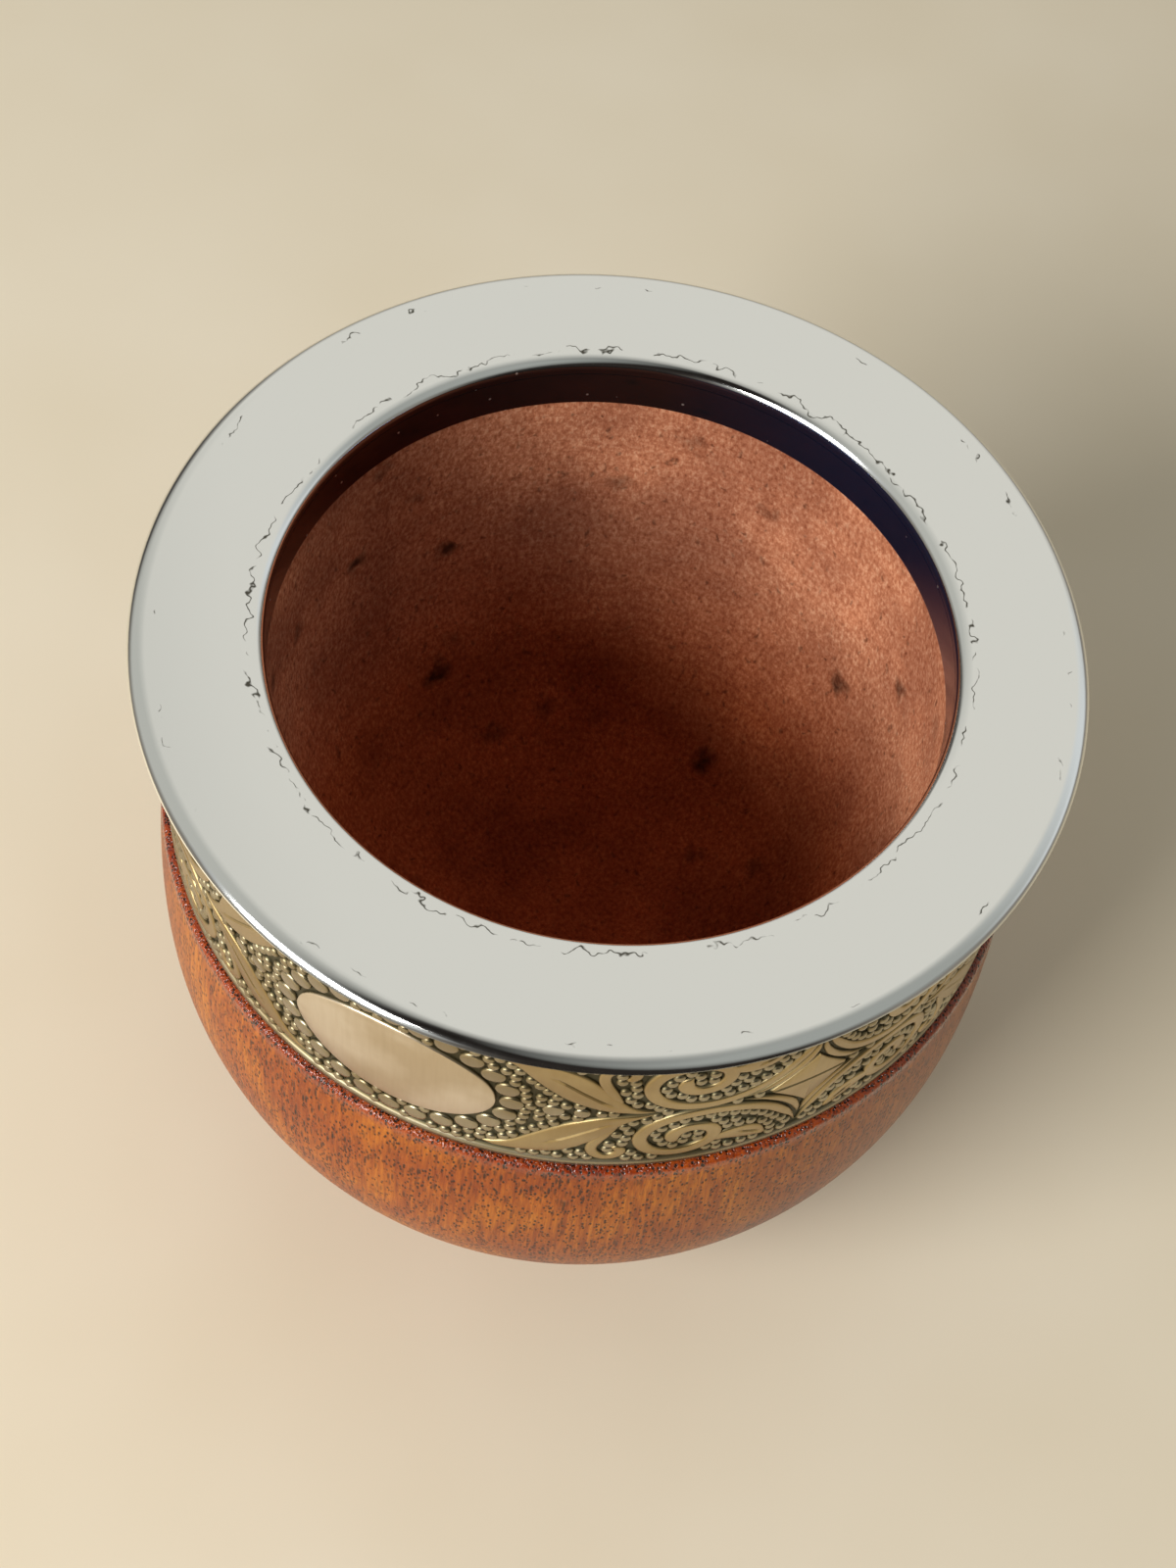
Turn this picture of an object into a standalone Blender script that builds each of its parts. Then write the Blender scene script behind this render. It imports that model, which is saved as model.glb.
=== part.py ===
"""Imperial mate cup: a turned hardwood vessel with a polished metal rim and a chased metal band.

Units are metres and +Z is up. The origin is the centre of the base, and the front of the cup,
where the band's plain oval lies, faces -Y. Nothing on the cup moves.
"""
import math

import bpy

# Overall size
HEIGHT = 0.0760            # base to the top of the rim
RIM_OUTER_R = 0.0450       # outside radius of the rim

# Polished rim: a flat ring with a rolled outer edge and a rounded inner lip
RING_WIDTH = 0.0125        # from the mouth to the outside of the rim
RIM_PLATE = 0.0012         # thickness of the flat ring
RIM_EDGE_ROUND = 0.0010    # radius of the rolled outer edge
RIM_OVERHANG = 0.0020      # how far the rim stands out past the band
LIP_ROUND = 0.0013         # radius of the inner lip
LIP_FLANGE = 0.0006        # how far the lip turns down below the flat ring

# Collar that lines the mouth
COLLAR_WALL = 0.0008
COLLAR_DEPTH = 0.0064      # rim top to the collar's lower edge

# Chased band round the outside, under the rim
BAND_WALL = 0.0008
BAND_DROP = 0.0260         # rim top to the band's lower edge
SEAM_SOLDER = 0.0004       # width of the solder in the band's upright seam

# Wooden body
SHOULDER_STEP = 0.0009     # how far the wood stands out past the band's face
SHOULDER_ROUND = 0.0006
BELLY_SWELL = 0.0006       # how far the widest point stands out past the shoulder
BELLY_DROP = 0.0144        # band's lower edge to the widest point
BELLY_FULLNESS = 2.2       # 2 is an ellipse, more is squarer
FOOT_R = 0.0230            # radius of the flat base
FLOOR = 0.0120             # thickness of the wood under the bowl
BOWL_SETBACK = 0.0002      # how far the wood lies back from the collar's inner face
BOWL_FULLNESS = 2.8

# Cement and solder
COLLAR_CEMENT = 0.0005
BAND_CEMENT = 0.0004
RIM_CEMENT = 0.0006
SOLDER_LEG = 0.0010        # leg of the solder fillets under the rim

# Clearance between pieces that touch
FIT_GAP = 0.0003

# Facets
TURN_STEPS = 64
BULLNOSE_STEPS = 8
ROUND_STEPS = 4
BELLY_STEPS = 5
BODY_STEPS = 14
BOWL_STEPS = 16
MERGE_DISTANCE = 0.00001
CUTTER_REACH = 2.0         # cutter size over the size of what it cuts

# Radii that the pieces share
MOUTH_R = RIM_OUTER_R - RING_WIDTH
COLLAR_OUTER_R = MOUTH_R + COLLAR_WALL
COLLAR_SEAT_R = COLLAR_OUTER_R + COLLAR_CEMENT + 2 * FIT_GAP
BAND_OUTER_R = RIM_OUTER_R - RIM_OVERHANG
BAND_INNER_R = BAND_OUTER_R - BAND_WALL
BAND_SEAT_R = BAND_INNER_R - BAND_CEMENT - 2 * FIT_GAP
SHOULDER_R = BAND_OUTER_R + SHOULDER_STEP
BELLY_R = SHOULDER_R + BELLY_SWELL
BOWL_R = MOUTH_R + BOWL_SETBACK

# Heights that the pieces share
PLATE_UNDER_Z = HEIGHT - RIM_PLATE
LIP_UNDER_Z = PLATE_UNDER_Z - LIP_FLANGE
WOOD_TOP_Z = PLATE_UNDER_Z - RIM_CEMENT - 2 * FIT_GAP
WOOD_CHAMFER_Z = WOOD_TOP_Z - SOLDER_LEG
COLLAR_BOTTOM_Z = HEIGHT - COLLAR_DEPTH
LEDGE_Z = COLLAR_BOTTOM_Z - FIT_GAP
BAND_TOP_Z = PLATE_UNDER_Z - FIT_GAP
BAND_BOTTOM_Z = HEIGHT - BAND_DROP
SHOULDER_Z = BAND_BOTTOM_Z - FIT_GAP
BELLY_Z = BAND_BOTTOM_Z - BELLY_DROP


def clear_scene():
    """Remove every object that is already in the scene."""
    for old in list(bpy.data.objects):
        bpy.data.objects.remove(old, do_unlink=True)


def new_collection(name):
    """Add a collection to the scene."""
    collection = bpy.data.collections.new(name)
    bpy.context.scene.collection.children.link(collection)
    return collection


def finish(name, colour, roughness, metallic):
    """A plain Principled material with one linear colour."""
    material = bpy.data.materials.new(name)
    material.use_nodes = True
    shader = material.node_tree.nodes["Principled BSDF"]
    shader.inputs["Base Color"].default_value = (*colour, 1.0)
    shader.inputs["Roughness"].default_value = roughness
    shader.inputs["Metallic"].default_value = metallic
    return material


def add_object(name, mesh, collection, material):
    """Put a mesh in a collection as a named object with one material."""
    item = bpy.data.objects.new(name, mesh)
    collection.objects.link(item)
    mesh.materials.append(material)
    return item


def arc(centre_r, centre_z, radius, start_deg, end_deg, steps):
    """Points of a circular arc in the profile plane, both ends included."""
    points = []
    for step in range(steps + 1):
        angle = math.radians(start_deg + (end_deg - start_deg) * step / steps)
        points.append((centre_r + radius * math.cos(angle), centre_z + radius * math.sin(angle)))
    return points


def full_curve(radius, top_z, depth, fullness, end_turn, steps):
    """Points of a superellipse quarter that goes down and inwards from (radius, top_z)."""
    points = []
    for step in range(steps + 1):
        turn = end_turn * step / steps
        reach = max(math.cos(turn), 0.0) ** (2 / fullness)
        fall = math.sin(turn) ** (2 / fullness)
        points.append((radius * reach, top_z - depth * fall))
    return points


def turned(name, profile, collection, material, closed=True):
    """A turned piece: a profile in the XZ plane with a Screw modifier about Z."""
    mesh = bpy.data.meshes.new(name)
    points = [(radius, 0.0, height) for radius, height in profile]
    edges = [(index, index + 1) for index in range(len(points) - 1)]
    if closed:
        edges.append((len(points) - 1, 0))
    mesh.from_pydata(points, edges, [])
    item = add_object(name, mesh, collection, material)
    screw = item.modifiers.new("Turn", "SCREW")
    screw.axis = "Z"
    screw.angle = 2 * math.pi
    screw.steps = TURN_STEPS
    screw.render_steps = TURN_STEPS
    screw.use_merge_vertices = True
    screw.merge_threshold = MERGE_DISTANCE
    screw.use_smooth_shade = True
    return item


def sleeve(name, inner_r, outer_r, bottom_z, top_z, collection, material):
    """A plain turned ring with a rectangular section."""
    profile = [(inner_r, top_z), (outer_r, top_z), (outer_r, bottom_z), (inner_r, bottom_z)]
    return turned(name, profile, collection, material)


def block(name, size, centre, collection, material):
    """A box of the given size, with its place in the object's location."""
    bpy.ops.mesh.primitive_cube_add(size=1.0)
    item = bpy.context.object
    item.name = name
    for vertex in item.data.vertices:
        vertex.co = [value * length for value, length in zip(vertex.co, size)]
    item.location = centre
    for holder in list(item.users_collection):
        holder.objects.unlink(item)
    collection.objects.link(item)
    item.data.materials.append(material)
    return item


def wood_profile():
    """Up the bowl, over the seats for collar, rim and band, and down the outside to the base."""
    bowl = full_curve(BOWL_R, LEDGE_Z, LEDGE_Z - FLOOR, BOWL_FULLNESS, math.pi / 2, BOWL_STEPS)
    bowl[-1] = (0.0, FLOOR)
    seats = [
        (COLLAR_SEAT_R, LEDGE_Z),
        (COLLAR_SEAT_R, WOOD_CHAMFER_Z),
        (COLLAR_SEAT_R + SOLDER_LEG, WOOD_TOP_Z),
        (BAND_SEAT_R - SOLDER_LEG, WOOD_TOP_Z),
        (BAND_SEAT_R, WOOD_CHAMFER_Z),
        (BAND_SEAT_R, SHOULDER_Z),
    ]
    round_z = SHOULDER_Z - SHOULDER_ROUND
    shoulder = arc(SHOULDER_R - SHOULDER_ROUND, round_z, SHOULDER_ROUND, 90, 0, ROUND_STEPS)
    swell = []
    for step in range(1, BELLY_STEPS):
        share = step / BELLY_STEPS
        radius = SHOULDER_R + BELLY_SWELL * math.sin(share * math.pi / 2)
        swell.append((radius, round_z + (BELLY_Z - round_z) * share))
    foot_share = (1 - (FOOT_R / BELLY_R) ** BELLY_FULLNESS) ** (1 / BELLY_FULLNESS)
    foot_turn = math.asin(foot_share ** (BELLY_FULLNESS / 2))
    depth = BELLY_Z / foot_share
    body = full_curve(BELLY_R, BELLY_Z, depth, BELLY_FULLNESS, foot_turn, BODY_STEPS)
    body[-1] = (FOOT_R, 0.0)
    return bowl[::-1] + seats + shoulder + swell + body + [(0.0, 0.0)]


def rim_profile():
    """Out along the top, round the rolled edge, back under the ring and up the lip."""
    edge_r = RIM_OUTER_R - RIM_EDGE_ROUND
    edge = arc(edge_r, HEIGHT - RIM_EDGE_ROUND, RIM_EDGE_ROUND, 90, -90, BULLNOSE_STEPS)
    rebate_r = BAND_OUTER_R + FIT_GAP
    under = [
        (rebate_r, HEIGHT - 2 * RIM_EDGE_ROUND),
        (rebate_r, PLATE_UNDER_Z),
        (COLLAR_OUTER_R, PLATE_UNDER_Z),
        (COLLAR_OUTER_R, LIP_UNDER_Z),
        (MOUTH_R, LIP_UNDER_Z),
    ]
    lip = arc(MOUTH_R + LIP_ROUND, HEIGHT - LIP_ROUND, LIP_ROUND, 180, 90, ROUND_STEPS)
    return edge + under + lip


def solder_profile(wall_r, away):
    """A fillet in the corner between the rim's underside and a wall; away is 1 or -1 along r."""
    corner_r = wall_r + away * FIT_GAP
    corner_z = PLATE_UNDER_Z - FIT_GAP
    leg_end = (corner_r + away * SOLDER_LEG, corner_z)
    points = [(corner_r, corner_z), leg_end, (corner_r, corner_z - SOLDER_LEG)]
    return points if away > 0 else points[::-1]


def build_body(parts):
    """The turned hardwood vessel."""
    hardwood = finish("varnished_hardwood", (0.36, 0.105, 0.036), 0.3, 0.0)
    turned("wood_body", wood_profile(), parts, hardwood, closed=False)


def build_rim(parts):
    """The polished ring on top and the collar that lines the mouth."""
    steel = finish("polished_steel", (0.72, 0.71, 0.68), 0.08, 1.0)
    turned("rim_ring", rim_profile(), parts, steel)
    collar_top = LIP_UNDER_Z - FIT_GAP
    sleeve("mouth_collar", MOUTH_R, COLLAR_OUTER_R, COLLAR_BOTTOM_Z, collar_top, parts, steel)


def build_band(parts, cutters):
    """The chased band, open at an upright seam on the -X side, and the solder in that seam."""
    nickel_silver = finish("nickel_silver", (0.42, 0.35, 0.22), 0.3, 1.0)
    solder = finish("silver_solder", (0.55, 0.53, 0.48), 0.35, 1.0)
    band = sleeve("engraved_band", BAND_INNER_R, BAND_OUTER_R, BAND_BOTTOM_Z, BAND_TOP_Z, parts,
                  nickel_silver)
    band_height = BAND_TOP_Z - BAND_BOTTOM_Z
    seam_centre = (BAND_WALL / 2 - BAND_OUTER_R, 0.0, BAND_BOTTOM_Z + band_height / 2)
    slot_size = (BAND_WALL * CUTTER_REACH, SEAM_SOLDER + 2 * FIT_GAP, band_height * CUTTER_REACH)
    slot = block("seam_cutter", slot_size, seam_centre, cutters, nickel_silver)
    slot.hide_render = True
    slot.display_type = "WIRE"
    cut = band.modifiers.new("Seam", "BOOLEAN")
    cut.operation = "DIFFERENCE"
    cut.object = slot
    block("band_seam_solder", (BAND_WALL, SEAM_SOLDER, band_height), seam_centre, parts, solder)


def build_bonds(parts):
    """The solder fillets and the cement that hold the metal together and to the wood."""
    solder = finish("soft_solder", (0.5, 0.5, 0.48), 0.4, 1.0)
    cement = finish("epoxy_cement", (0.45, 0.36, 0.2), 0.6, 0.0)
    turned("collar_solder", solder_profile(COLLAR_OUTER_R, 1), parts, solder)
    turned("band_solder", solder_profile(BAND_INNER_R, -1), parts, solder)
    sleeve("collar_cement", COLLAR_OUTER_R + FIT_GAP, COLLAR_SEAT_R - FIT_GAP,
           COLLAR_BOTTOM_Z, WOOD_CHAMFER_Z, parts, cement)
    sleeve("band_cement", BAND_SEAT_R + FIT_GAP, BAND_INNER_R - FIT_GAP,
           BAND_BOTTOM_Z, WOOD_CHAMFER_Z, parts, cement)
    sleeve("rim_cement", COLLAR_SEAT_R + SOLDER_LEG, BAND_SEAT_R - SOLDER_LEG,
           WOOD_TOP_Z + FIT_GAP, PLATE_UNDER_Z - FIT_GAP, parts, cement)


clear_scene()
cup = new_collection("imperial_mate_cup")
cutting = new_collection("cutters")
build_body(cup)
build_rim(cup)
build_band(cup, cutting)
build_bonds(cup)
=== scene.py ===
import math
import bmesh
import bpy
import numpy as np
from mathutils import Matrix, Vector


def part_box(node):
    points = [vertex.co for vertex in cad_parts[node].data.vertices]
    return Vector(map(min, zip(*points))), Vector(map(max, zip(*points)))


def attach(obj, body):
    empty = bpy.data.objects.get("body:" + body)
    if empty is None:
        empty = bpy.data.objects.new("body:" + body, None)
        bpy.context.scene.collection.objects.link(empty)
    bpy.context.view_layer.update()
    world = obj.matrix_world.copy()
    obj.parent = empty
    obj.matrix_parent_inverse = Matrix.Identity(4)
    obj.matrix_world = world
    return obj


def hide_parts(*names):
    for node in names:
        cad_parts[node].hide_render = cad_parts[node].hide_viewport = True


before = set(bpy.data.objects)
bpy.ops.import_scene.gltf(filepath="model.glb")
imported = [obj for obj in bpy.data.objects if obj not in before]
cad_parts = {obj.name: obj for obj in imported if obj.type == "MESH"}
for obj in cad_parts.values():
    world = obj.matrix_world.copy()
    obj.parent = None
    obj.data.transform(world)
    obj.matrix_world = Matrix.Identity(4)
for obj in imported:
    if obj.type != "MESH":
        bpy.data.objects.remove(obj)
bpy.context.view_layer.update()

MM = 0.001

# Wooden body: one block of open-pored hardwood, turned and hollowed on a lathe with its grain upright.
# The outside has a thin varnish. The bowl is left raw, is stained by use, and is painted darker as shade
# towards its bottom.
# A shoulder is cut round it for the metal band, and a ledge inside for the collar.
wood_low, wood_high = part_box("wood_body")
collar_low, collar_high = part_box("mouth_collar")
band_low, band_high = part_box("engraved_band")
rim_low, rim_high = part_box("rim_ring")
belly_radius = wood_high.x
band_radius = band_high.x
collar_wall = 0.8 * MM
mouth_radius = collar_high.x - collar_wall
shoulder_height = band_low.z
shoulder_ledge = 0.75 * MM
shoulder_radius = band_radius + shoulder_ledge
shoulder_round = 0.6 * MM
red_edge_start = shoulder_height - 1.8 * MM
red_edge_end = shoulder_height - 0.3 * MM
belly_drop = 14.4 * MM
belly_height = shoulder_height - belly_drop
belly_fullness = 2.2
foot_radius = 23.0 * MM
foot_inset = 0.36 * MM
floor_height = 12.0 * MM
# The bowl's painted shade fades out this far above its floor
painted_shade_depth = 38.0 * MM
bowl_step = 0.2 * MM
bowl_radius = mouth_radius + bowl_step
bowl_fullness = 2.8
seat_gap = 0.1 * MM
band_rebate = 1.0 * MM
turn_steps = 192
merge_distance = 0.001 * MM


def arc_points(centre, radius, start, end, count):
    """Points of an arc in the (radius, height) plane, angles in degrees."""
    angles = np.radians(np.linspace(start, end, count))
    return [(centre[0] + radius * math.cos(a), centre[1] + radius * math.sin(a)) for a in angles]


def full_curve(radius, top, depth, fullness, end_turn, count):
    """Points of a superellipse quarter, from (radius, top) down and inwards."""
    points = []
    for turn in np.linspace(0.0, end_turn, count):
        reach = max(math.cos(turn), 0.0) ** (2 / fullness)
        fall = math.sin(turn) ** (2 / fullness)
        points.append((radius * reach, top - depth * fall))
    return points


def new_mesh(name, bm):
    """Turn a bmesh into a mesh."""
    mesh = bpy.data.meshes.new(name)
    bm.to_mesh(mesh)
    bm.free()
    return mesh


def new_piece(name, bm, materials):
    """Make an object of a bmesh and give it its materials."""
    piece = bpy.data.objects.new(name, new_mesh(name, bm))
    bpy.context.scene.collection.objects.link(piece)
    for material in materials:
        piece.data.materials.append(material)
    return piece


def close_shell(bm):
    """Merge doubles, fill what is open and turn the faces outwards."""
    bmesh.ops.remove_doubles(bm, verts=bm.verts, dist=merge_distance)
    bmesh.ops.holes_fill(bm, edges=[edge for edge in bm.edges if edge.is_boundary])
    bmesh.ops.recalc_face_normals(bm, faces=bm.faces)
    for face in bm.faces:
        face.smooth = True


def draw_profile(points, closed):
    """A bmesh that holds one outline, given as (radius, height)."""
    bm = bmesh.new()
    corners = [bm.verts.new((radius, 0.0, height)) for radius, height in points]
    for first, second in zip(corners, corners[1:]):
        bm.edges.new((first, second))
    if closed:
        bm.edges.new((corners[-1], corners[0]))
    return bm


def turn_profile(points, closed, steps=turn_steps):
    """Spin an outline once round the Z axis."""
    bm = draw_profile(points, closed)
    bmesh.ops.spin(bm, geom=bm.verts[:] + bm.edges[:], cent=(0, 0, 0), axis=(0, 0, 1),
                   angle=2 * math.pi, steps=steps, use_merge=True)
    close_shell(bm)
    return bm


def sharpen(piece, degrees):
    """Mark the edges sharper than an angle, so that the rest shade smoothly."""
    piece.data.set_sharp_from_angle(angle=math.radians(degrees))


def linear(hex_colour):
    """An sRGB hex colour as linear RGBA."""
    channels = [int(hex_colour[i:i + 2], 16) / 255 for i in (1, 3, 5)]
    return [c / 12.92 if c <= 0.04045 else ((c + 0.055) / 1.055) ** 2.4 for c in channels] + [1.0]


def add_node(tree, kind, settings, links):
    """Add a node; settings are attributes, inputs or ramp stops, links are (input, node, output)."""
    node = tree.nodes.new("ShaderNode" + kind)
    for key, value in settings.items():
        if key == "stops":
            elements = node.color_ramp.elements
            while len(elements) < len(value):
                elements.new(0.5)
            for element, (stop, colour) in zip(elements, value):
                element.position = stop
                element.color = linear(colour)
        elif isinstance(key, str) and hasattr(node, key):
            setattr(node, key, value)
        else:
            node.inputs[key].default_value = value
    for socket, source, output in links:
        tree.links.new(source.outputs[output], node.inputs[socket])
    return node


def new_material(name):
    """An empty Principled material: the material, its tree and its shader."""
    material = bpy.data.materials.new(name)
    material.use_nodes = True
    return material, material.node_tree, material.node_tree.nodes["Principled BSDF"]


def varnished_wood():
    """Thin varnish over upright grain: orange-brown streaks, redder patches, short dark pores."""
    material, tree, shader = new_material("varnished_carob_wood")
    place = add_node(tree, "TexCoord", {}, [])
    # Fibres about 0.4 mm apart and twenty times as long
    fibre_map = add_node(tree, "Mapping", {"Scale": (2600, 2600, 130)}, [("Vector", place, "Object")])
    fibre = add_node(tree, "TexNoise", {"Scale": 1.0, "Detail": 5.0, "Roughness": 0.6},
                     [("Vector", fibre_map, "Vector")])
    # Pores about 0.4 mm apart and 1.5 mm long, crowded where the patches are dark
    pore_map = add_node(tree, "Mapping", {"Scale": (2300, 2300, 400)}, [("Vector", place, "Object")])
    pore = add_node(tree, "TexVoronoi", {"Scale": 1.0, "Randomness": 1.0},
                    [("Vector", pore_map, "Vector")])
    patch_map = add_node(tree, "Mapping", {"Scale": (90, 90, 55)}, [("Vector", place, "Object")])
    patch = add_node(tree, "TexNoise", {"Scale": 1.0, "Detail": 4.0, "Distortion": 0.8},
                     [("Vector", patch_map, "Vector")])
    grain = add_node(tree, "ValToRGB", {"stops": [(0.34, "#965216"), (0.5, "#B26C1A"), (0.66, "#C88428")]},
                     [(0, fibre, "Fac")])
    tint = add_node(tree, "ValToRGB",
                    {"stops": [(0.36, "#C68A58"), (0.5, "#DCB076"), (0.64, "#EED294")]}, [(0, patch, "Fac")])
    coloured = add_node(tree, "Mix", {"data_type": "RGBA", "blend_type": "MULTIPLY", 0: 0.9},
                        [(6, grain, "Color"), (7, tint, "Color")])
    pore_mask = add_node(tree, "ValToRGB",
                         {"stops": [(0.18, "#FFFFFF"), (0.42, "#000000")]}, [(0, pore, "Distance")])
    crowd = add_node(tree, "ValToRGB",
                     {"stops": [(0.35, "#FFFFFF"), (0.65, "#909090")]}, [(0, patch, "Fac")])
    depth = add_node(tree, "ValToRGB",
                     {"stops": [(0.25, "#181818"), (0.6, "#FFFFFF")]}, [(0, pore, "Color")])
    open_pores = add_node(tree, "Math", {"operation": "MULTIPLY"},
                          [(0, pore_mask, "Color"), (1, crowd, "Color")])
    long_pores = add_node(tree, "Math", {"operation": "MULTIPLY"},
                          [(0, open_pores, "Value"), (1, depth, "Color")])
    # End grain shows redder on the shoulder's edge, with more dark flecks
    apart = add_node(tree, "SeparateXYZ", {}, [(0, place, "Object")])
    edge = add_node(tree, "MapRange", {1: red_edge_start, 2: red_edge_end, 3: 0.0, 4: 0.7},
                    [(0, apart, "Z")])
    # Fine flecks about 0.3 mm apart and 0.7 mm long, of which half are dark
    fleck_map = add_node(tree, "Mapping", {"Scale": (3100, 3100, 1450)}, [("Vector", place, "Object")])
    fleck = add_node(tree, "TexVoronoi", {"Scale": 1.0, "Randomness": 1.0},
                     [("Vector", fleck_map, "Vector")])
    fleck_core = add_node(tree, "ValToRGB",
                          {"stops": [(0.22, "#FAFAFA"), (0.54, "#000000")]}, [(0, fleck, "Distance")])
    fleck_depth = add_node(tree, "ValToRGB",
                           {"stops": [(0.42, "#000000"), (0.62, "#FFFFFF")]}, [(0, fleck, "Color")])
    fleck_share = add_node(tree, "Math", {"operation": "ADD"}, [(0, fleck_depth, "Color"), (1, edge, 0)])
    flecks = add_node(tree, "Math", {"operation": "MULTIPLY"},
                      [(0, fleck_core, "Color"), (1, fleck_share, "Value")])
    pores = add_node(tree, "Math", {"operation": "MAXIMUM"},
                     [(0, long_pores, "Value"), (1, flecks, "Value")])
    pored = add_node(tree, "Mix", {"data_type": "RGBA", 7: linear("#260B04")},
                     [(0, pores, "Value"), (6, coloured, 2)])
    final = add_node(tree, "Mix", {"data_type": "RGBA", "blend_type": "MULTIPLY", 7: linear("#E48C6C")},
                     [(0, edge, 0), (6, pored, 2)])
    tree.links.new(final.outputs[2], shader.inputs["Base Color"])
    height = add_node(tree, "Math", {"operation": "SUBTRACT"}, [(0, fibre, "Fac"), (1, pores, "Value")])
    bump = add_node(tree, "Bump", {"Strength": 0.5, "Distance": 0.15 * MM}, [("Height", height, "Value")])
    tree.links.new(bump.outputs["Normal"], shader.inputs["Normal"])
    coat_bump = add_node(tree, "Bump", {"Distance": 0.15 * MM},
                         [("Strength", edge, 0), ("Height", height, "Value")])
    tree.links.new(coat_bump.outputs["Normal"], shader.inputs["Coat Normal"])
    shader.inputs["Roughness"].default_value = 0.4
    shader.inputs["IOR"].default_value = 1.5
    shader.inputs["Specular IOR Level"].default_value = 0.1
    # The varnish has built up to a hard gloss on the shoulder's edge
    coat = add_node(tree, "MapRange", {1: red_edge_start, 2: red_edge_end, 3: 0.3, 4: 1.0},
                    [(0, apart, "Z")])
    gloss = add_node(tree, "MapRange", {1: red_edge_start, 2: red_edge_end, 3: 0.3, 4: 0.08},
                     [(0, apart, "Z")])
    tree.links.new(coat.outputs[0], shader.inputs["Coat Weight"])
    tree.links.new(gloss.outputs[0], shader.inputs["Coat Roughness"])
    return material


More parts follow.
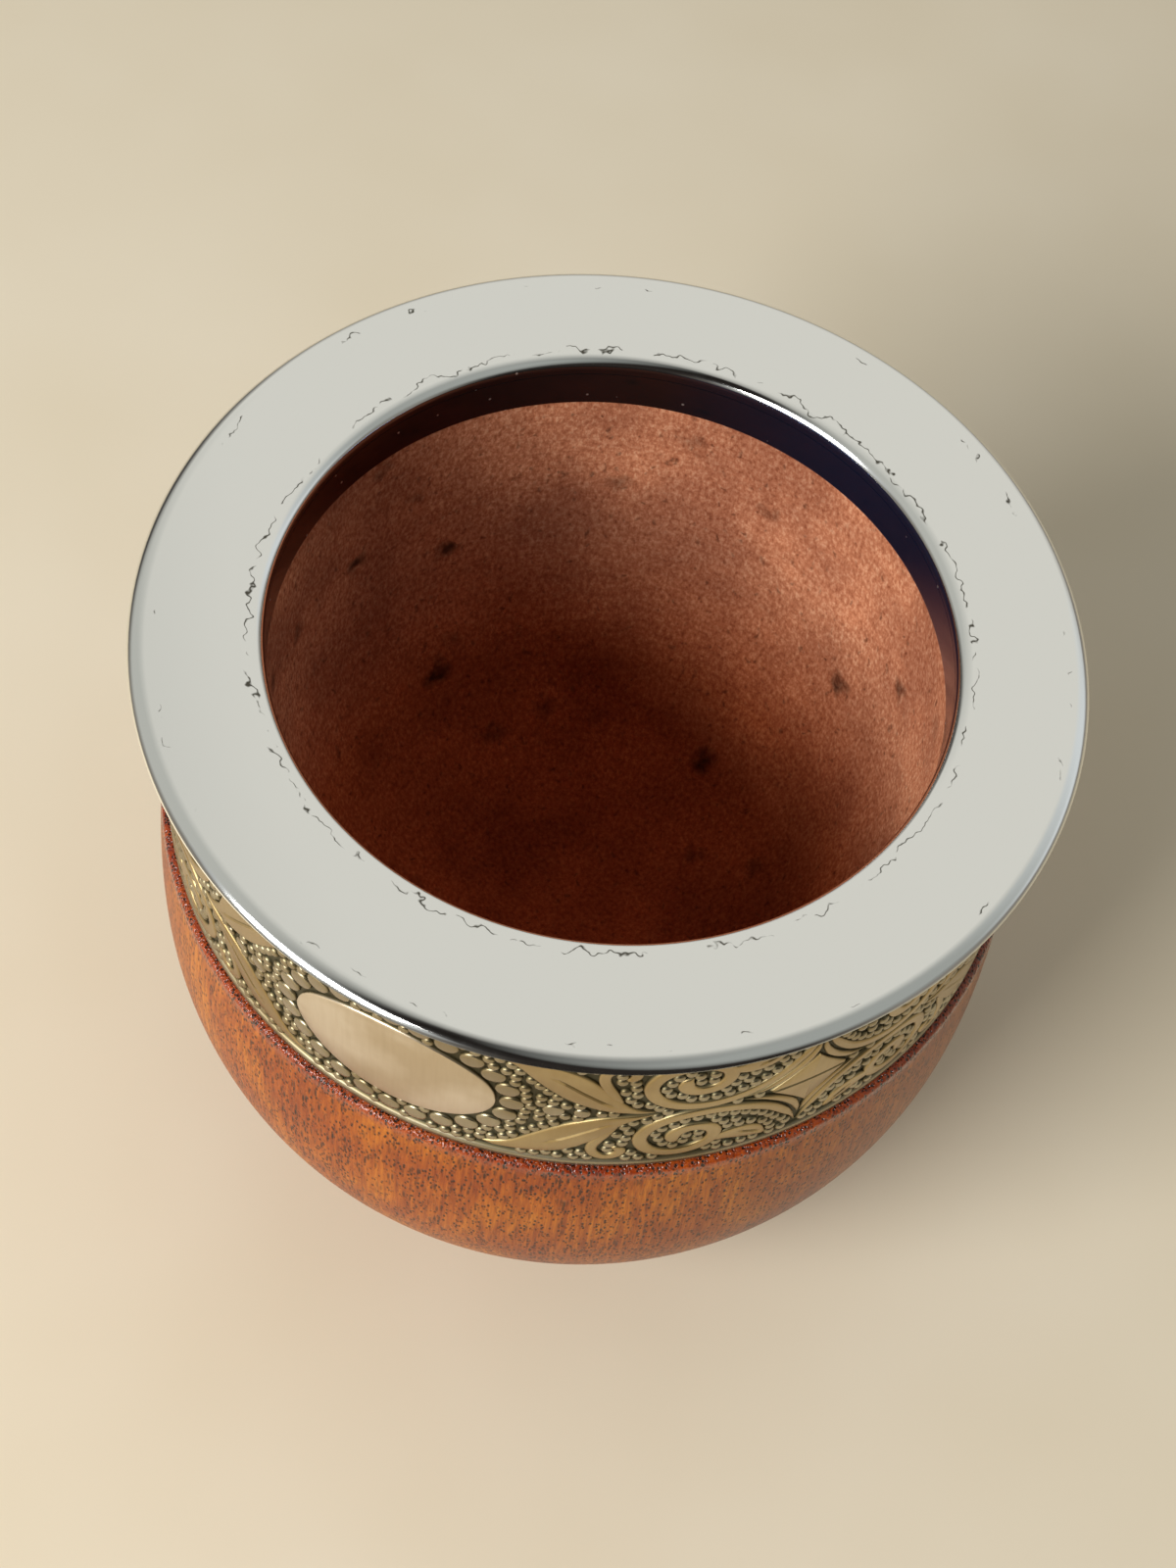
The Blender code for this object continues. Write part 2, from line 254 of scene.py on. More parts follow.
def raw_wood():
    """Unvarnished bowl: dull red-brown, fuzzy torn grain, fine dark pores, a few use stains and painted
    shade deeper down.
    """
    material, tree, shader = new_material("raw_carob_wood")
    place = add_node(tree, "TexCoord", {}, [])
    # Torn fibres about 0.4 mm apart and 0.7 mm long
    fuzz_map = add_node(tree, "Mapping", {"Scale": (2300, 2300, 1450)}, [("Vector", place, "Object")])
    fuzz = add_node(tree, "TexNoise", {"Scale": 1.0, "Detail": 6.0, "Roughness": 0.7},
                    [("Vector", fuzz_map, "Vector")])
    patch = add_node(tree, "TexNoise", {"Scale": 70.0, "Detail": 4.0}, [("Vector", place, "Object")])
    # Stains with ragged edges, in more than half the cells of a 10 mm pattern
    warp = add_node(tree, "TexNoise", {"Scale": 420.0, "Detail": 3.0}, [("Vector", place, "Object")])
    ragged = add_node(tree, "VectorMath", {"operation": "MULTIPLY_ADD", 1: (3 * MM, 3 * MM, 5 * MM)},
                      [(0, warp, "Color"), (2, place, "Object")])
    spot = add_node(tree, "TexVoronoi", {"Scale": 105.0, "Randomness": 1.0},
                    [("Vector", ragged, "Vector")])
    # Flecks about 1 mm apart, ragged too, of which half are dark
    pore_map = add_node(tree, "Mapping", {"Scale": (1000, 1000, 640)}, [("Vector", ragged, "Vector")])
    pore = add_node(tree, "TexVoronoi", {"Scale": 1.0, "Randomness": 1.0},
                    [("Vector", pore_map, "Vector")])
    grain = add_node(tree, "ValToRGB",
                     {"stops": [(0.3, "#985A3E"), (0.5, "#C68664"), (0.7, "#EAB894")]}, [(0, fuzz, "Fac")])
    tint = add_node(tree, "ValToRGB",
                    {"stops": [(0.35, "#A88478"), (0.62, "#FFF0E4")]}, [(0, patch, "Fac")])
    tinted = add_node(tree, "Mix", {"data_type": "RGBA", "blend_type": "MULTIPLY", 0: 0.6},
                      [(6, grain, "Color"), (7, tint, "Color")])
    # Lathe marks: broken level lines about 0.4 mm apart
    lathe_map = add_node(tree, "Mapping", {"Scale": (170, 170, 2500)}, [("Vector", place, "Object")])
    lathe = add_node(tree, "TexNoise", {"Scale": 1.0, "Detail": 3.0}, [("Vector", lathe_map, "Vector")])
    rings = add_node(tree, "ValToRGB",
                     {"stops": [(0.34, "#B08C7C"), (0.56, "#FFFFFF")]}, [(0, lathe, "Fac")])
    ringed = add_node(tree, "Mix", {"data_type": "RGBA", "blend_type": "MULTIPLY", 0: 0.2},
                      [(6, tinted, 2), (7, rings, "Color")])
    # Painted shade: the lower bowl is darkened towards the bottom, where the hollow lies in shade
    apart = add_node(tree, "SeparateXYZ", {}, [(0, place, "Object")])
    depth = add_node(tree, "MapRange", {1: floor_height, 2: floor_height + painted_shade_depth},
                     [(0, apart, "Z")])
    painted_deep_shade = add_node(tree, "ValToRGB",
                    {"stops": [(0.0, "#D69C78"), (0.5, "#E6BC9E"), (1.0, "#FFFFFF")]}, [(0, depth, 0)])
    coloured = add_node(tree, "Mix", {"data_type": "RGBA", "blend_type": "MULTIPLY", 0: 1.0},
                        [(6, ringed, 2), (7, painted_deep_shade, "Color")])
    spot_core = add_node(tree, "ValToRGB",
                         {"stops": [(0.05, "#F0F0F0"), (0.22, "#000000")]}, [(0, spot, "Distance")])
    spot_gate = add_node(tree, "ValToRGB",
                         {"stops": [(0.38, "#000000"), (0.5, "#FFFFFF")]}, [(0, spot, "Color")])
    spot_mask = add_node(tree, "Math", {"operation": "MULTIPLY"},
                         [(0, spot_core, "Color"), (1, spot_gate, "Color")])
    pore_core = add_node(tree, "ValToRGB",
                         {"stops": [(0.1, "#C0C0C0"), (0.34, "#000000")]}, [(0, pore, "Distance")])
    pore_gate = add_node(tree, "ValToRGB",
                         {"stops": [(0.45, "#000000"), (0.7, "#FFFFFF")]}, [(0, pore, "Color")])
    pore_mask = add_node(tree, "Math", {"operation": "MULTIPLY"},
                         [(0, pore_core, "Color"), (1, pore_gate, "Color")])
    marks = add_node(tree, "Math", {"operation": "MAXIMUM"},
                     [(0, spot_mask, "Value"), (1, pore_mask, "Value")])
    final = add_node(tree, "Mix", {"data_type": "RGBA", 7: linear("#220C06")},
                     [(0, marks, "Value"), (6, coloured, 2)])
    tree.links.new(final.outputs[2], shader.inputs["Base Color"])
    bump = add_node(tree, "Bump", {"Strength": 0.5, "Distance": 0.15 * MM}, [("Height", fuzz, "Fac")])
    tree.links.new(bump.outputs["Normal"], shader.inputs["Normal"])
    shader.inputs["Roughness"].default_value = 0.75
    shader.inputs["Specular IOR Level"].default_value = 0.06
    return material


ledge_height = collar_low.z
seat_radius = collar_high.x + seat_gap
wood_top = wood_high.z
band_seat = band_radius - band_rebate
bowl = full_curve(bowl_radius, ledge_height, ledge_height - floor_height, bowl_fullness, math.pi / 2, 40)
bowl[-1] = (0.0, floor_height)
seats = [(seat_radius, ledge_height), (seat_radius, wood_top), (band_seat, wood_top),
         (band_seat, shoulder_height)]
shoulder_centre = (shoulder_radius - shoulder_round, shoulder_height - shoulder_round)
shoulder = arc_points(shoulder_centre, shoulder_round, 90, 0, 7)
swell = []
for share in np.linspace(0.0, 1.0, 12)[1:-1]:
    swell_radius = shoulder_radius + (belly_radius - shoulder_radius) * math.sin(share * math.pi / 2)
    swell.append((swell_radius, shoulder_centre[1] + (belly_height - shoulder_centre[1]) * share))
foot_share = (1 - (foot_radius / belly_radius) ** belly_fullness) ** (1 / belly_fullness)
foot_turn = math.asin(foot_share ** (belly_fullness / 2))
body = full_curve(belly_radius, belly_height, belly_height / foot_share, belly_fullness, foot_turn, 36)
foot = [(foot_radius - foot_inset, 0.0), (0.0, 0.0)]
bm = turn_profile(bowl[::-1] + seats + shoulder + swell + body + foot, closed=False)
for face in bm.faces:
    centre = face.calc_center_median()
    is_bowl = centre.z > floor_height and math.hypot(centre.x, centre.y) < bowl_radius
    face.material_index = 1 if is_bowl else 0
wood_body = new_piece("turned_wood_body", bm, [varnished_wood(), raw_wood()])
sharpen(wood_body, 40)
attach(wood_body, "root")
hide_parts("wood_body")

# Polished rim: a flat ring of stainless steel, spun with a rolled outer edge and a rounded inner lip,
# and buffed to a mirror. Dried drops have left broken dark lines round the lip and the outer edge.
rim_radius = rim_high.x
rim_top = rim_high.z
rim_edge_drop = 2.0 * MM
rim_crown_round = 3.0 * MM
rim_crown_tilt = 20
rim_roll_round = 1.3 * MM
rim_roll_tilt = 60
rim_under_slope = 1.0 * MM
rim_plate = 1.2 * MM
rim_band_gap = 0.1 * MM
rim_foot = rim_low.z + 0.2 * MM
lip_crown_round = 4.0 * MM
lip_crown_tilt = 20
lip_round = 1.1 * MM
lip_shade_slope = 0.5
mark_break = 0.06
# Side of the collar that gets a painted blue reflection, and how far out from the axis it fades in
blue_reflection_side = (0.58, 0.81, 0.0)
blue_reflection_start = 0.6 * mouth_radius
blue_reflection_end = 0.97 * mouth_radius


def tangent_arc(start, start_angle, end_angle, radius, count):
    """An arc from a point on, whose normal turns from one angle to the other."""
    turn = math.radians(start_angle)
    centre = (start[0] - radius * math.cos(turn), start[1] - radius * math.sin(turn))
    return arc_points(centre, radius, start_angle, end_angle, count)


def crown_reach(crown_round, crown_tilt, roll_round, roll_tilt):
    """How far a soft crown and the roll after it reach sideways."""
    crown_end = math.sin(math.radians(crown_tilt))
    return crown_round * crown_end + roll_round * (math.sin(math.radians(roll_tilt)) - crown_end)


def polished_steel():
    """Mirror-polished steel: clear reflections, faint buffing haze and thin dried-on squiggles."""
    material, tree, shader = new_material("polished_stainless_steel")
    place = add_node(tree, "TexCoord", {}, [])
    apart = add_node(tree, "SeparateXYZ", {}, [(0, place, "Object")])
    flat = add_node(tree, "CombineXYZ", {}, [(0, apart, 0), (1, apart, 1)])
    radius = add_node(tree, "VectorMath", {"operation": "LENGTH"}, [(0, flat, 0)])
    # The squiggles wander by about 1 mm either way, are about 0.15 mm wide and break every few mm
    wander = add_node(tree, "TexNoise", {"Scale": 430.0, "Detail": 2.0, "Roughness": 0.65},
                      [("Vector", flat, 0)])
    breaks = add_node(tree, "TexNoise", {"Scale": 340.0, "Detail": 3.0}, [("Vector", flat, 0)])
    drift = add_node(tree, "Math", {"operation": "MULTIPLY_ADD", 1: 3.4 * MM, 2: -1.7 * MM},
                     [(0, wander, "Fac")])
    shifted = add_node(tree, "Math", {"operation": "ADD"}, [(0, radius, "Value"), (1, drift, 0)])
    marks = []
    for line_radius, threshold in mark_lines:
        away = add_node(tree, "Math", {"operation": "SUBTRACT", 1: line_radius}, [(0, shifted, 0)])
        distance = add_node(tree, "Math", {"operation": "ABSOLUTE"}, [(0, away, 0)])
        line = add_node(tree, "MapRange", {1: 0.02 * MM, 2: 0.12 * MM, 3: 1.0, 4: 0.0}, [(0, distance, 0)])
        gate = add_node(tree, "MapRange", {1: threshold, 2: threshold + mark_break}, [(0, breaks, "Fac")])
        marks.append(add_node(tree, "Math", {"operation": "MULTIPLY"}, [(0, line, 0), (1, gate, 0)]))
    mark = add_node(tree, "Math", {"operation": "MAXIMUM"}, [(0, marks[0], 0), (1, marks[1], 0)])
    colour = add_node(tree, "Mix",
                      {"data_type": "RGBA", 6: linear("#F2F1EC"), 7: linear("#5E5A50")}, [(0, mark, 0)])
    tree.links.new(colour.outputs[2], shader.inputs["Base Color"])
    haze = add_node(tree, "MapRange", {1: 0.3, 2: 0.7, 3: 0.07, 4: 0.11}, [(0, breaks, "Fac")])
    rough = add_node(tree, "Math", {"operation": "MULTIPLY_ADD", 1: 0.4}, [(0, mark, 0), (2, haze, 0)])
    tree.links.new(rough.outputs[0], shader.inputs["Roughness"])
    shader.inputs["Metallic"].default_value = 1.0
    return material


def collar_steel():
    """Polished steel inside the mouth: a mirror darkened to brown as painted shade and painted blue on one
    side as a reflection, with water spots and wipe marks.
    """
    material, tree, shader = new_material("water_spotted_painted_dark_steel")
    place = add_node(tree, "TexCoord", {}, [])
    # Upright wipe marks about 1.5 mm apart
    wipe_map = add_node(tree, "Mapping", {"Scale": (700, 700, 90)}, [("Vector", place, "Object")])
    wipe = add_node(tree, "TexNoise", {"Scale": 1.0, "Detail": 3.0}, [("Vector", wipe_map, "Vector")])
    # Spots about 2.5 mm apart and 0.3 mm across
    spot = add_node(tree, "TexVoronoi", {"Scale": 400.0}, [("Vector", place, "Object")])
    speck = add_node(tree, "MapRange", {1: 0.04, 2: 0.08, 3: 1.0, 4: 0.0}, [(0, spot, "Distance")])
    # Painted shade and reflection: the steel's colour is darkened to brown, and turned blue on one side as a
    # painted reflection of bluish window light
    aside = add_node(tree, "VectorMath", {"operation": "DOT_PRODUCT", 1: blue_reflection_side},
                     [(0, place, "Object")])
    blue_reflection_share = add_node(tree, "MapRange", {1: blue_reflection_start, 2: blue_reflection_end}, [(0, aside, "Value")])
    painted_reflection_tint = add_node(tree, "Mix",
                      {"data_type": "RGBA", 6: linear("#706460"), 7: linear("#5A6CA0")}, [(0, blue_reflection_share, 0)])
    colour = add_node(tree, "Mix", {"data_type": "RGBA", 7: linear("#D8D4CC")},
                      [(0, speck, 0), (6, painted_reflection_tint, 2)])
    tree.links.new(colour.outputs[2], shader.inputs["Base Color"])
    haze = add_node(tree, "MapRange", {1: 0.3, 2: 0.7, 3: 0.06, 4: 0.16}, [(0, wipe, "Fac")])
    rough = add_node(tree, "Math", {"operation": "MULTIPLY_ADD", 1: 0.4}, [(0, speck, 0), (2, haze, 0)])
    tree.links.new(rough.outputs[0], shader.inputs["Roughness"])
    shader.inputs["Metallic"].default_value = 0.95
    return material


flat_end = rim_radius - crown_reach(rim_crown_round, rim_crown_tilt, rim_roll_round, rim_roll_tilt)
lip_start = mouth_radius + crown_reach(lip_crown_round, lip_crown_tilt, lip_round, 90)
mark_lines = ((lip_start - 0.5 * MM, 0.45), (rim_radius - 2.2 * MM, 0.6))
steel = polished_steel()
spotted_painted_dark_steel = collar_steel()
edge = tangent_arc((flat_end, rim_top), 90, 90 - rim_crown_tilt, rim_crown_round, 9)
edge += tangent_arc(edge[-1], 90 - rim_crown_tilt, 90 - rim_roll_tilt, rim_roll_round, 11)[1:]
under_height = rim_top - rim_edge_drop
under_step = band_radius + rim_band_gap
under = [(rim_radius - rim_under_slope, under_height), (under_step, under_height),
         (under_step, rim_top - rim_plate), (collar_high.x, rim_top - rim_plate),
         (collar_high.x, rim_foot), (mouth_radius, rim_foot)]
lip = tangent_arc((lip_start, rim_top), 90, 90 + lip_crown_tilt, lip_crown_round, 9)
lip += tangent_arc(lip[-1], 90 + lip_crown_tilt, 180, lip_round, 11)[1:]
ring = turn_profile(edge + under + lip[::-1], closed=True)
# The steep side of the lip gets the collar's steel, with its painted brown shade and painted blue reflection
for face in ring.faces:
    centre = face.calc_center_median()
    is_mouth = abs(face.normal.z) < lip_shade_slope and math.hypot(centre.x, centre.y) < lip_start
    face.material_index = 1 if is_mouth else 0
rim_ring = new_piece("polished_rim_ring", ring, [steel, spotted_painted_dark_steel])
sharpen(rim_ring, 40)
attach(rim_ring, "root")
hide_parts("rim_ring")

# Mouth collar: a short sleeve of the same steel that lines the mouth and hides the wood's end grain.
# It is soldered under the lip and cemented into the wood, and its foot is rolled over.
collar_inner = mouth_radius
collar_outer = collar_high.x
collar_foot = collar_low.z
collar_overlap = 0.1 * MM
collar_top = rim_low.z + collar_overlap
foot_roll = 0.35 * MM
roll = arc_points((collar_inner + foot_roll, collar_foot + foot_roll), foot_roll, 180, 270, 6)
sleeve = roll + [(collar_outer, collar_foot), (collar_outer, collar_top), (collar_inner, collar_top)]
mouth_collar = new_piece("rolled_mouth_collar", turn_profile(sleeve, closed=True), [spotted_painted_dark_steel])
sharpen(mouth_collar, 40)
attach(mouth_collar, "root")
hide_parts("mouth_collar")

# Band sheet: a strip of nickel silver, rolled to a hoop round the wood and soldered where its ends meet.
# Its ground is punched back between two plain margins and is left dark, so that the chasing stands out.
sheet_wall = 0.8 * MM
sheet_inner = band_radius - sheet_wall
hoop_steps = 256
relief_height = 0.38 * MM
ground_radius = band_radius - relief_height
margin_width = 1.05 * MM
margin_round = 0.15 * MM
band_foot = band_low.z
band_middle = 11.8 * MM
seam_low, seam_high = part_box("band_seam_solder")
seam_gap = 0.05 * MM
seam_half = (seam_high.y - seam_low.y) / 2 + seam_gap


def nickel_silver(name, top_colour, top_roughness):
    """Yellowish nickel silver, satin on the raised work, with dark olive tarnish in the sunk ground."""
    material, tree, shader = new_material(name)
    place = add_node(tree, "TexCoord", {}, [])
    apart = add_node(tree, "SeparateXYZ", {}, [(0, place, "Object")])
    flat = add_node(tree, "CombineXYZ", {}, [(0, apart, 0), (1, apart, 1)])
    radius = add_node(tree, "VectorMath", {"operation": "LENGTH"}, [(0, flat, 0)])
    lift = add_node(tree, "MapRange", {1: ground_radius, 2: band_radius}, [(0, radius, "Value")])
    # Upright rubbing lines about 0.5 mm apart
    rub_map = add_node(tree, "Mapping", {"Scale": (2200, 2200, 160)}, [("Vector", place, "Object")])
    rub = add_node(tree, "TexNoise", {"Scale": 1.0, "Detail": 3.0}, [("Vector", rub_map, "Vector")])
    # Patches about 9 mm across, where hands have worn the tarnish more or less
    cloud = add_node(tree, "TexNoise", {"Scale": 110.0, "Detail": 3.0}, [("Vector", place, "Object")])
    worn = add_node(tree, "Math", {"operation": "MULTIPLY_ADD", 1: 0.25, 2: -0.125}, [(0, cloud, "Fac")])
    level = add_node(tree, "Math", {"operation": "ADD"}, [(0, lift, 0), (1, worn, 0)])
    tarnish = add_node(tree, "ValToRGB",
                       {"stops": [(0.12, "#5A5644"), (0.4, "#766C4E"), (0.75, top_colour)]},
                       [(0, level, "Value")])
    streak = add_node(tree, "ValToRGB",
                      {"stops": [(0.3, "#F0ECE4"), (0.65, "#FFFFFF")]}, [(0, rub, "Fac")])
    streaked = add_node(tree, "Mix", {"data_type": "RGBA", "blend_type": "MULTIPLY", 0: 0.4},
                        [(6, tarnish, "Color"), (7, streak, "Color")])
    handled = add_node(tree, "ValToRGB",
                       {"stops": [(0.36, "#C4B28C"), (0.58, "#FFFFFF")]}, [(0, cloud, "Fac")])
    colour = add_node(tree, "Mix", {"data_type": "RGBA", "blend_type": "MULTIPLY", 0: 0.5},
                      [(6, streaked, 2), (7, handled, "Color")])
    tree.links.new(colour.outputs[2], shader.inputs["Base Color"])
    rough = add_node(tree, "MapRange", {1: 0.2, 2: 0.8, 3: 0.6, 4: top_roughness}, [(0, level, 0)])
    tree.links.new(rough.outputs[0], shader.inputs["Roughness"])
    bump = add_node(tree, "Bump", {"Strength": 0.05, "Distance": 0.03 * MM}, [("Height", rub, "Fac")])
    tree.links.new(bump.outputs["Normal"], shader.inputs["Normal"])
    shader.inputs["Metallic"].default_value = 1.0
    return material


satin = nickel_silver("chased_nickel_silver", "#B6A176", 0.34)
margin_top = band_foot + margin_width
field_top = band_foot + 2 * band_middle - margin_width
strip = [(sheet_inner, band_foot), (band_radius - margin_round, band_foot),
         (band_radius, band_foot + margin_round), (band_radius, margin_top - margin_round),
         (band_radius - margin_round, margin_top),
         (ground_radius, margin_top + margin_round), (ground_radius, field_top - margin_round),
         (band_radius - margin_round, field_top), (band_radius, field_top + margin_round),
         (band_radius, band_high.z), (sheet_inner, band_high.z)]
bm = draw_profile(strip, closed=True)
seam_turn = seam_half / band_radius
bmesh.ops.rotate(bm, cent=(0, 0, 0), matrix=Matrix.Rotation(math.pi + seam_turn, 3, "Z"), verts=bm.verts)
bmesh.ops.spin(bm, geom=bm.verts[:] + bm.edges[:], cent=(0, 0, 0), axis=(0, 0, 1),
               angle=2 * (math.pi - seam_turn), steps=hoop_steps)
close_shell(bm)
band_sheet = new_piece("band_sheet", bm, [nickel_silver("plain_nickel_silver", "#A89E86", 0.42)])
sharpen(band_sheet, 50)
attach(band_sheet, "root")
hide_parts("engraved_band")

# Chased scrollwork: the oval plate, leaves, scrolls, ribbons and diamonds that stand up from the ground.
# They are hammered and cut in the same strip. Their outlines are in mm: the way round from the oval's
# middle, and the height over the band's foot. One quarter is drawn, and the rest are its mirror images.
quarter_width = 39.7
side_width = math.pi * band_radius / MM / 2 - quarter_width
side_squeeze = 0.9
middle = band_middle / MM
oval_half_width = 10.25
oval_half_height = 7.3
leaf_edges = ([(9.0, 2.1), (11.6, 3.5), (13.3, 5.5), (15.1, 7.6), (17.1, 9.4), (19.9, 10.9), (22.8, 11.5),
               (25.3, 11.7)],
              [(9.0, 2.1), (10.8, 1.9), (13.3, 2.2), (15.9, 2.8), (17.8, 4.0), (19.4, 5.8), (20.9, 8.0),
               (22.5, 10.2), (25.3, 11.7)])
curl_line = [(21.4, 9.1), (20.1, 6.4), (19.5, 4.4), (19.7, 3.0), (20.6, 2.2), (21.7, 2.4), (22.25, 3.3),
             (21.9, 4.1), (21.3, 4.2)]
curl_half = [(0.0, 0.3), (0.2, 0.62), (0.9, 0.6), (0.97, 0.45), (1.0, 0.1)]
scroll_line = [(39.6, 1.9), (38.85, 4.0), (37.5, 6.3), (35.7, 8.5), (33.3, 10.1), (30.2, 10.95),
               (27.0, 10.5), (24.7, 8.8), (23.8, 6.2), (24.6, 3.8), (26.6, 2.6), (28.9, 2.7), (30.5, 3.9),
               (30.9, 5.7), (30.0, 7.3), (28.4, 7.7), (27.1, 6.9), (26.9, 5.6), (27.4, 4.8)]
scroll_half = [(0.0, 0.05), (0.1, 0.55), (0.3, 0.75), (0.9, 0.8), (0.965, 0.85), (0.985, 0.65), (1.0, 0.1)]
ribbon_line = [(39.55, 3.9), (39.2, 5.6), (38.4, 7.4), (37.0, 9.2), (35.2, 10.7), (33.0, 11.6)]
ribbon_half = [(0.0, 0.06), (0.15, 0.38), (0.35, 0.5), (0.7, 0.42), (1.0, 0.06)]
side_leaf_edges = ([(31.2, 5.0), (32.6, 5.5), (34.2, 5.4), (35.6, 4.4), (36.3, 2.9), (36.5, 1.8)],
                   [(31.0, 3.5), (32.0, 3.4), (33.1, 3.0), (34.4, 2.5), (35.6, 2.1), (36.5, 1.8)])
diamond_edge = [(35.5, 0.05), (37.2, 1.8), (38.8, 3.7), (39.7, 5.0)]

# A raised shape's section: how far in from its edge each step lies, the least share of its half width
# that is left there, and the step's level; then how far a vein's walls lie from the middle.
foot_level = -0.15
side_steps = [(0.06, 0.8, 0.55), (0.16, 0.55, 0.88), (0.34, 0.4, 1.0)]
vein_walls = [(0.34, 0.4), (0.25, 0.32)]
vein_depth = 0.72
vein_fade = 0.08
least_half_width = 0.02
full_half_width = 0.45
least_rise = 0.1


def smooth_curve(points, count):
    """A smooth line through a few points, cut to even steps."""
    knots = np.array(points)
    padded = np.vstack([2 * knots[0] - knots[1], knots, 2 * knots[-1] - knots[-2]])
    share = np.linspace(0, 1, 16, endpoint=False)[:, None]
    pieces = []
    for before, start, end, after in zip(padded, padded[1:], padded[2:], padded[3:]):
        bend = 2 * before - 5 * start + 4 * end - after
        twist = 3 * start - before - 3 * end + after
        pieces.append(start + 0.5 * ((end - before) * share + bend * share ** 2 + twist * share ** 3))
    line = np.vstack(pieces + [knots[-1:]])
    length = np.append(0, np.cumsum(np.linalg.norm(np.diff(line, axis=0), axis=1)))
    even = np.linspace(0, length[-1], count)
    return np.column_stack([np.interp(even, length, line[:, axis]) for axis in (0, 1)])


def stroke(points, half_widths, count):
    """The two edges of a stroke along a centre line; half_widths are (share of length, mm)."""
    centre = smooth_curve(points, count)
    along = np.gradient(centre, axis=0)
    along /= np.linalg.norm(along, axis=1)[:, None]
    across = np.column_stack([-along[:, 1], along[:, 0]])
    half = np.interp(np.linspace(0, 1, count), *zip(*half_widths))[:, None]
    return centre + across * half, centre - across * half


def wrap(centre_angle, around, up, out):
    """A point on the band from its place in mm round from a centre line and up from the foot."""
    angle = centre_angle + around * MM / band_radius
    reach = ground_radius + out
    return Vector((reach * math.cos(angle), reach * math.sin(angle), band_foot + up * MM))


def chase(bm, edges, place, vein, rise):
    """Raise the strip between two edges as a shell: steep rounded sides, flat top and a cut vein."""
    first, second = edges
    centre = (first + second) / 2
    half = (second - first) / 2
    width = np.maximum(np.linalg.norm(half, axis=1), least_half_width)
    steps = [np.ones_like(width)]
    steps += [np.maximum(1 - inset / width, least) for inset, least, level in side_steps]
    steps += [np.minimum(wall / width, most) for wall, most in vein_walls]
    steps += [np.zeros_like(width)]
    heights = [foot_level] + [level for inset, least, level in side_steps]
    heights += [1.0] * (len(vein_walls) + 1)
    across = [-step for step in steps] + steps[-2::-1] + [-steps[0]]
    levels = heights + heights[-2::-1] + heights[:1]
    height = relief_height * rise * np.clip(width / full_half_width, least_rise, 1.0) ** 0.5
    columns = len(width)
    cut = np.zeros(columns)
    if vein:
        start, end = vein
        fades = [start - vein_fade, start, end, end + vein_fade]
        cut = np.interp(np.linspace(0, 1, columns), fades, [0, 1, 1, 0])
    shell = bmesh.new()
    grid = bmesh.ops.create_grid(shell, x_segments=columns - 1, y_segments=len(levels) - 1, size=1)
    for index, vert in enumerate(grid["verts"]):
        row, column = divmod(index, columns)
        spot = centre[column] + half[column] * across[row][column]
        dip = vein_depth * cut[column] if row == len(heights) - 1 else 0.0
        vert.co = place(spot[0], spot[1], height[column] * (levels[row] - dip))
    close_shell(shell)
    mesh = new_mesh("chased_shape", shell)
    bm.from_mesh(mesh)
    bpy.data.meshes.remove(mesh)


def quarter_motifs():
    """The quarter's raised shapes: two edges, vein as shares of the length or none, and rise."""
    leaf = [smooth_curve(edge, 40) for edge in leaf_edges]
    side_leaf = [smooth_curve(edge, 22) for edge in side_leaf_edges]
    return [(leaf, (0.42, 0.68), 1.0),
            (stroke(curl_line, curl_half, 44), None, 0.97),
            (stroke(scroll_line, scroll_half, 130), None, 1.0),
            (stroke(ribbon_line, ribbon_half, 28), None, 0.96),
            (side_leaf, (0.42, 0.7), 0.95)]


def half_diamond():
    """Half of a diamond, with a line cut along its middle."""
    upper = smooth_curve([(around, middle + rise) for around, rise in diamond_edge], 18)
    lower = smooth_curve([(around, middle - rise) for around, rise in diamond_edge], 18)
    return [upper, lower]


def squeeze(points):
    """Move a quarter's points to the narrower quarter on the cup's side."""
    return np.column_stack([side_width - side_squeeze * (quarter_width - points[:, 0]), points[:, 1]])


def quarter_place(centre_angle, side, flip):
    """How a quarter's points go on to the band, mirrored sideways or upright by a sign."""
    return lambda around, up, out: wrap(centre_angle, side * around, middle + flip * (up - middle), out)


front_motifs = quarter_motifs()
side_motifs = [([squeeze(edge) for edge in edges], vein, rise) for edges, vein, rise in front_motifs]
front_diamond = half_diamond()
side_diamond = [squeeze(edge) for edge in front_diamond]
oval_turns = np.linspace(math.pi, 0, 64)
oval_across = oval_half_width * np.cos(oval_turns)
oval_rise = oval_half_height * np.sin(oval_turns)
oval_edges = [np.column_stack([oval_across, middle + side * oval_rise]) for side in (1, -1)]
oval_angles = (-math.pi / 2, math.pi / 2)
side_angles = (0.0, math.pi)
sections = [(angle, front_motifs, front_diamond) for angle in oval_angles]
sections += [(angle, side_motifs, side_diamond) for angle in side_angles]
bm = bmesh.new()
for centre_angle, motifs, diamond in sections:
    for side in (1, -1):
        for flip in (1, -1):
            for edges, vein, rise in motifs:
                chase(bm, edges, quarter_place(centre_angle, side, flip), vein, rise)
        chase(bm, diamond, quarter_place(centre_angle, side, 1), (0.1, 1.0), 1.0)
scroll_faces = len(bm.faces)
for centre_angle in oval_angles:
    chase(bm, oval_edges, quarter_place(centre_angle, 1, 1), None, 1.0)
for index, face in enumerate(bm.faces):
    face.material_index = 1 if index >= scroll_faces else 0
rubbed = nickel_silver("rubbed_nickel_silver", "#E2D6C4", 0.3)
scrollwork = new_piece("band_scrollwork", bm, [satin, rubbed])
sharpen(scrollwork, 43)
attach(scrollwork, "root")

